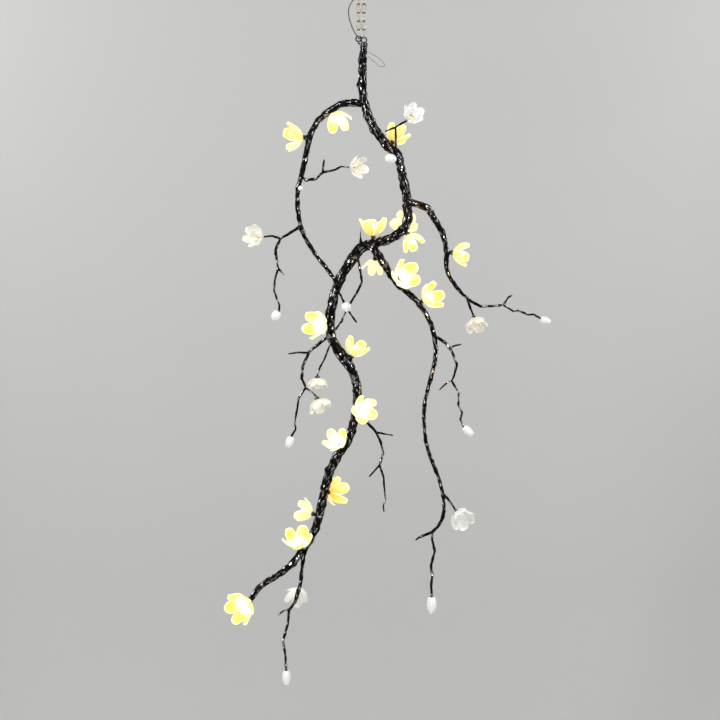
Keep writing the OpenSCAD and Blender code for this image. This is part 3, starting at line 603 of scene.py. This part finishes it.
# Glow of each bloom: share of cream in it, and how many petals are white-hot
bloomGlow = [
    (0.15, 1), (0.5, 2), (0.1, 0), (0.1, 0), (0.5, 0), (0.25, 0), (0.05, 0), (0.85, 0), (0.8, 0), (0.5, 0),
    (0.85, 0), (0.3, 1), (0.7, 0), (0.75, 0), (0.3, 2), (0.5, 0), (0.2, 1), (0.85, 0), (0.75, 0), (0.2, 2),
    (0.15, 0), (0.8, 0), (0.2, 1), (0.1, 0), (0.4, 0), (0.0, 0)]
# Petal width and cup depth, as shares, of the blooms that are opener or fuller than the rest
bloomForm = {4: (1.0, 0.8), 12: (1.05, 0.85), 14: (1.2, 0.9), 15: (1.0, 0.95), 17: (1.0, 0.8), 18: (1.3, 0.8),
             19: (1.2, 0.9), 20: (0.95, 0.75), 23: (1.0, 0.85), 24: (0.92, 0.95), 26: (1.12, 1.05)}
# Angles in degrees, sizes as shares of the half span. Unlit blooms have a ring of small petals inside
bloomShape = {
    "turnEach": 29, "sizes": (0.95, 1.0), "leans": (-5, 3), "twist": 8, "creamSpread": 0.2, "creamMost": 0.88,
    "innerCount": 3, "innerSize": 0.62, "innerTurn": 20, "innerLean": 16, "innerTwist": 10, "innerWide": 1.35,
    "innerDeep": 1.1, "waveScale": 45, "waves": 0.035, "seed": 5}


def bloomFrame(node, way):
    # the foot of the CAD bloom, its axis, and the turn about it that part.scad's stand() gives
    axis = Vector(way).normalized()
    mesh = nodes[node].data
    heights = [vertex.co.dot(axis) for vertex in mesh.vertices]
    low = min(heights)
    foot = [vertex.co for vertex, height in zip(mesh.vertices, heights) if height - low < 0.0001]
    centre = sum(foot, Vector()) / len(foot)
    turn = Matrix.Rotation(math.atan2(axis.y, axis.x), 4, "Z") @ Matrix.Rotation(math.acos(axis.z), 4, "Y")
    return Matrix.Translation(centre) @ turn


def placePetal(petal, matrix, tone):
    leaf = copyOf(petal, "petal", matrix)
    shade = leaf.data.attributes.new("tone", "FLOAT", "POINT")
    for value in shade.data:
        value.value = tone
    return leaf


def turned(degrees, axis):
    return Matrix.Rotation(math.radians(degrees), 4, axis)


def placeBloom(index, row, glow, petal, shape, chance):
    way, span, count, lit = row
    cream, hot = glow
    wide, deep = bloomForm.get(index + 1, (1, 1))
    node = "bloom_%d" % (index + 1)
    place = bloomFrame(node, way)
    half = span * mm / 2
    petals = []
    for leaf in range(count):
        angle = index * shape["turnEach"] + 360 / count * (leaf + 0.5) - 90
        size = half * chance.uniform(*shape["sizes"])
        matrix = (place @ turned(angle, "Z") @ turned(chance.uniform(*shape["leans"]), "X")
                  @ turned(shape["twist"], "Y") @ Matrix.Diagonal((size * wide, size, size * deep, 1)))
        spread = shape["creamSpread"]
        tone = 1.0 if leaf < hot else min(shape["creamMost"], max(0.0, cream + chance.uniform(-spread, spread)))
        petals.append(placePetal(petal, matrix, tone))
    for leaf in range(0 if lit else shape["innerCount"]):
        angle = index * shape["turnEach"] + 120 * leaf + shape["innerTurn"]
        size = half * shape["innerSize"]
        matrix = (place @ turned(angle, "Z") @ turned(shape["innerLean"], "X") @ turned(shape["innerTwist"], "Y")
                  @ Matrix.Diagonal((size * shape["innerWide"], size, size * shape["innerDeep"] * deep, 1)))
        petals.append(placePetal(petal, matrix, cream))
    bloom = joined(node + "Petals", petals)
    for vertex in bloom.data.vertices:
        vertex.co += noise.noise_vector(vertex.co * shape["waveScale"]) * half * shape["waves"]
    settle(bloom, 80)
    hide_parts(node)
    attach(bloom, "bough")


litPetal = modelPetal("litPetal", petalShape, finishes["litInside"], finishes["litOutside"])
plainPetal = modelPetal("plainPetal", petalShape, finishes["porcelain"], finishes["porcelain"])
chance = random.Random(bloomShape["seed"])
noise.seed_set(bloomShape["seed"])  # noise_vector goes by the clock without it
for index, row in enumerate(bloomTable):
    placeBloom(index, row, bloomGlow[index], litPetal if row[3] else plainPetal, bloomShape, chance)
remove(litPetal)
remove(plainPetal)
print("blooms placed:", len(bloomTable))

# Each bud: its foot, the way it points, length and width in millimetres
budTable = [
    ((84.4, 9, -491.8), (-0.8, -0.6, 0.1), 30, 25),
    ((-162, -29.9, -570.6), (0.45, -0.85, 0.25), 15, 12),
    ((-217.1, -21.2, -889.6), (-0.55, -0.1, -0.8), 26, 24),
    ((-39.6, -28.8, -878.8), (-0.1, -0.95, 0.2), 28, 26),
    ((470.9, 109.1, -905.4), (0.9, 0.1, -0.35), 30, 20),
    ((263.8, -38, -1188.7), (0.75, 0, -0.65), 33, 22),
    ((-185.3, 39, -1215), (-0.3, 0, -0.95), 31, 22),
    ((181, -43, -1629), (0, 0, -1), 44, 26),
    ((-197, -3, -1823), (0.03, 0, -1), 39, 23),
]
# A core and three petals wrapped round it, for a bud of length 1 and half width 1
budShape = {"rows": 9, "columns": 8, "petals": 3, "turn": 150, "wall": 0.07, "overlap": 0.1, "closeFrom": 0.6,
            "core": (0.8, 0.8, 0.46), "coreHeight": 0.47, "shorten": 0.92}


def modelBud(shape, finish):
    parts = []
    for leaf in range(shape["petals"]):
        clearSelection()
        bpy.ops.mesh.primitive_grid_add(x_subdivisions=shape["columns"], y_subdivisions=shape["rows"] - 1, size=1,
                                        calc_uvs=True)
        wrap = bpy.context.object
        for vertex in wrap.data.vertices:
            share = vertex.co.y + 0.5
            angle = math.radians(shape["turn"]) * vertex.co.x
            radius = 0.9 * math.sin(math.pi * (0.12 + 0.79 * share) ** 0.85) ** 0.7 + 0.04
            radius *= 1 + shape["overlap"] * vertex.co.x
            angle *= 1 - 0.7 * max(0, share - shape["closeFrom"]) ** 1.5 / 0.25
            vertex.co = Vector((math.sin(angle) * radius, math.cos(angle) * radius, share * 0.99))
        thick = wrap.modifiers.new("wall", "SOLIDIFY")
        thick.thickness = shape["wall"]
        thick.offset = -1
        smooth = wrap.modifiers.new("smooth", "SUBSURF")
        smooth.levels = smooth.render_levels = 1
        applyModifiers(wrap)
        wrap.data.transform(turned(360 / shape["petals"] * leaf, "Z"))
        parts.append(wrap)
    clearSelection()
    bpy.ops.mesh.primitive_uv_sphere_add(segments=16, ring_count=10, radius=1,
                                         location=(0, 0, shape["coreHeight"]), scale=shape["core"])
    parts.append(settle(bpy.context.object))
    bud = joined("budModel", parts)
    bud.data.materials.clear()
    bud.data.materials.append(finish)
    return settle(bud, 70)


budModel = modelBud(budShape, finishes["porcelain"])
budCopies = []
for foot, way, length, width in budTable:
    axis = Vector(way).normalized()
    turn = Vector((0, 0, 1)).rotation_difference(axis).to_matrix().to_4x4()
    size = Matrix.Diagonal((width * mm / 2, width * mm / 2, length * mm * budShape["shorten"], 1))
    budCopies.append(copyOf(budModel, "bud", Matrix.Translation(Vector(foot) * mm) @ turn @ size))
allBuds = joined("budPetals", budCopies)
remove(budModel)
settle(allBuds, 70)
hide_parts("buds")
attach(allBuds, "bough")
print("buds placed:", len(budTable))

# Free cords: points in millimetres, widths in metres
leadLine = [(0, 0, -48), (0, 0, -52), (0, 0, -56), (-4, -7, -62), (-10, -11, -69), (-20, -12, -76), (-29, -11, -88),
        (-34, -10, -100), (-35, -9, -112), (-33, -8, -127), (-28, -9, -143), (-22, -11, -158), (-14, -11, -171),
        (-5, -9, -180), (0, -5, -185), (0, -5, -189.9)]
clearLine = [(10, 1, -211), (18, -2, -214), (32, -5, -222), (46, -8, -232), (56, -10, -242), (58, -8, -250),
        (47, -2, -251), (34, 2, -240), (18, 2, -226), (9, 2, -222)]
cordWidth = {"lead": 0.0028, "clear": 0.0016}


def cordPiece(name, line, diameter, finish):
    places = np.linspace(0, len(line) - 1, 6 * (len(line) - 1) + 1)
    route = [Vector(curvePoint([(*point, 1) for point in line], place)[:3]) for place in places]
    curve = bpy.data.curves.new(name, "CURVE")
    curve.dimensions = "3D"
    curve.bevel_depth = diameter / 2
    curve.bevel_resolution = 3
    curve.use_fill_caps = True
    spline = curve.splines.new("POLY")
    spline.points.add(len(route) - 1)
    for point, spot in zip(spline.points, route):
        point.co = (*spot, 1)
    piece = bpy.data.objects.new(name, curve)
    bpy.context.scene.collection.objects.link(piece)
    pick(piece)
    bpy.ops.object.convert(target="MESH")
    piece = bpy.context.object
    piece.data.materials.clear()
    piece.data.materials.append(finish)
    settle(piece, 60)
    length = sum((second - first).length for first, second in zip(route, route[1:]))
    print(name, "is", round(length, 4), "m long")
    return piece, route, length


supplyLead, leadRoute, leadLength = cordPiece("supplyLead", leadLine, cordWidth["lead"], finishes["sheath"])
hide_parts("supply_lead")
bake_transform(supplyLead)
clearWire, clearRoute, clearLength = cordPiece("clearWire", clearLine, cordWidth["clear"], finishes["clear"])
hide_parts("wire_loop")
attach(clearWire, "bough")
print("cords made")

# Finishes of the CAD pieces that stay
nodeFinish = {
    "ceiling_plate": "zinc", "ceiling_canopy": "blackPaint", "hanging_tube": "zinc", "tube_nuts": "zinc",
    "canopy_nut": "blackPaint", "driver": "driver", "terminal_block": "terminal", "turning_loop": "zinc",
    "chain": "nickel", "stem_cap": "blackPaint", "calyx_cups": "calyx", "lamp_holders": "holder", "lamps": "lamp",
    "centre_nuts": "brass"}
for node, finish in nodeFinish.items():
    for slot in nodes[node].material_slots:
        slot.link = "OBJECT"
        slot.material = finishes[finish]
    print(node, "takes", finish)


# Plain room: a floor that sweeps up into a backdrop, and soft light
room = {"halfWidth": 5.0, "front": -2.4, "backdrop": 1.5, "bend": 1.5, "floor": -3.2, "height": 9,
        "colour": (0.62, 0.62, 0.61), "world": 0.05, "shown": 0.4}


def roomSheet(colour):
    # seen from behind, the sheet is clear, so that the object shows from every side
    sheet = Recipe("paleFloor", roughness=0.9)
    speckle = sheet.noise(sheet.objectPlace(), 500, 3)
    sheet.set(baseColor=sheet.mixColour(speckle, colour, tuple(c * 0.88 for c in colour)))
    tree = sheet.tree
    behind = tree.nodes.new("ShaderNodeNewGeometry")
    clear = tree.nodes.new("ShaderNodeBsdfTransparent")
    mix = tree.nodes.new("ShaderNodeMixShader")
    tree.links.new(behind.outputs["Backfacing"], mix.inputs[0])
    tree.links.new(sheet.shader.outputs[0], mix.inputs[1])
    tree.links.new(clear.outputs[0], mix.inputs[2])
    tree.links.new(mix.outputs[0], tree.nodes["Material Output"].inputs["Surface"])
    return sheet.material


def paleWorld(look):
    # pale to the camera and in reflections, and only a little light beside the lamps
    world = bpy.data.worlds.new("room")
    world.use_nodes = True
    tree = world.node_tree
    rays = tree.nodes.new("ShaderNodeLightPath")
    strength = None
    for name in ("Is Camera Ray", "Is Glossy Ray", "Is Transmission Ray"):
        most = tree.nodes.new("ShaderNodeMath")
        most.operation = "MAXIMUM"
        most.inputs[0].default_value = 0
        if strength:
            tree.links.new(strength, most.inputs[0])
        tree.links.new(rays.outputs[name], most.inputs[1])
        strength = most.outputs[0]
    level = tree.nodes.new("ShaderNodeMapRange")
    tree.links.new(strength, level.inputs["Value"])
    level.inputs["To Min"].default_value = look["world"]
    level.inputs["To Max"].default_value = look["shown"]
    tree.links.new(level.outputs[0], tree.nodes["Background"].inputs["Strength"])
    tree.nodes["Background"].inputs["Color"].default_value = (1, 1, 0.99, 1)
    bpy.context.scene.world = world


def sweptRoom(size):
    clearSelection()
    bpy.ops.mesh.primitive_plane_add(size=1)
    floor = bpy.context.object
    floor.name = "floor"
    bend = size["bend"]
    profile = [(size["front"], 0)]
    for degrees in range(0, 91, 10):
        angle = math.radians(degrees)
        profile.append((size["backdrop"] - bend + bend * math.sin(angle), bend - bend * math.cos(angle)))
    profile.append((size["backdrop"], size["height"]))
    sheet = bmesh.new()
    rows = [[sheet.verts.new((x, y, size["floor"] + z)) for x in (-size["halfWidth"], size["halfWidth"])]
            for y, z in profile]
    for low, high in zip(rows, rows[1:]):
        sheet.faces.new((low[0], low[1], high[1], high[0]))
    sheet.to_mesh(floor.data)
    sheet.free()
    for face in floor.data.polygons:
        face.use_smooth = True
    floor.data.materials.append(roomSheet(size["colour"]))


# Wide soft lamps: place, what each looks at, size in metres and power in watts
lamps = {
    "keyLight": {"place": (-2.9, -3.6, 0.5), "target": (0, 0, -0.9), "size": (0.7, 2.4), "power": 115},
    "fillLight": {"place": (3.0, -3.2, 0.1), "target": (0, 0, -1.0), "size": (0.5, 2.4), "power": 75},
    "topLight": {"place": (0.2, -3.6, 2.4), "target": (0, 0.3, -0.9), "size": (2.4, 0.9), "power": 60},
    "lowLight": {"place": (-1.2, -3.8, -2.1), "target": (0, 0, -1.0), "size": (1.5, 0.4), "power": 16},
    "backLeftLight": {"place": (-2.3, 0.8, 0.4), "target": (0, 0, -1.0), "size": (0.5, 2.0), "power": 24},
    "backRightLight": {"place": (2.3, 0.8, 0.1), "target": (0, 0, -1.0), "size": (0.5, 2.0), "power": 20},
}


def softLight(name, place, target, size, power):
    lamp = bpy.data.lights.new(name, "AREA")
    lamp.shape = "RECTANGLE"
    lamp.size, lamp.size_y = size
    lamp.energy = power
    light = bpy.data.objects.new(name, lamp)
    light.location = place
    light.rotation_euler = (Vector(target) - Vector(place)).to_track_quat("-Z", "Y").to_euler()
    light.visible_camera = False
    bpy.context.scene.collection.objects.link(light)


sweptRoom(room)
for name, facts in lamps.items():
    softLight(name, **facts)
paleWorld(room)
print("room lit by", len(lamps), "lamps")
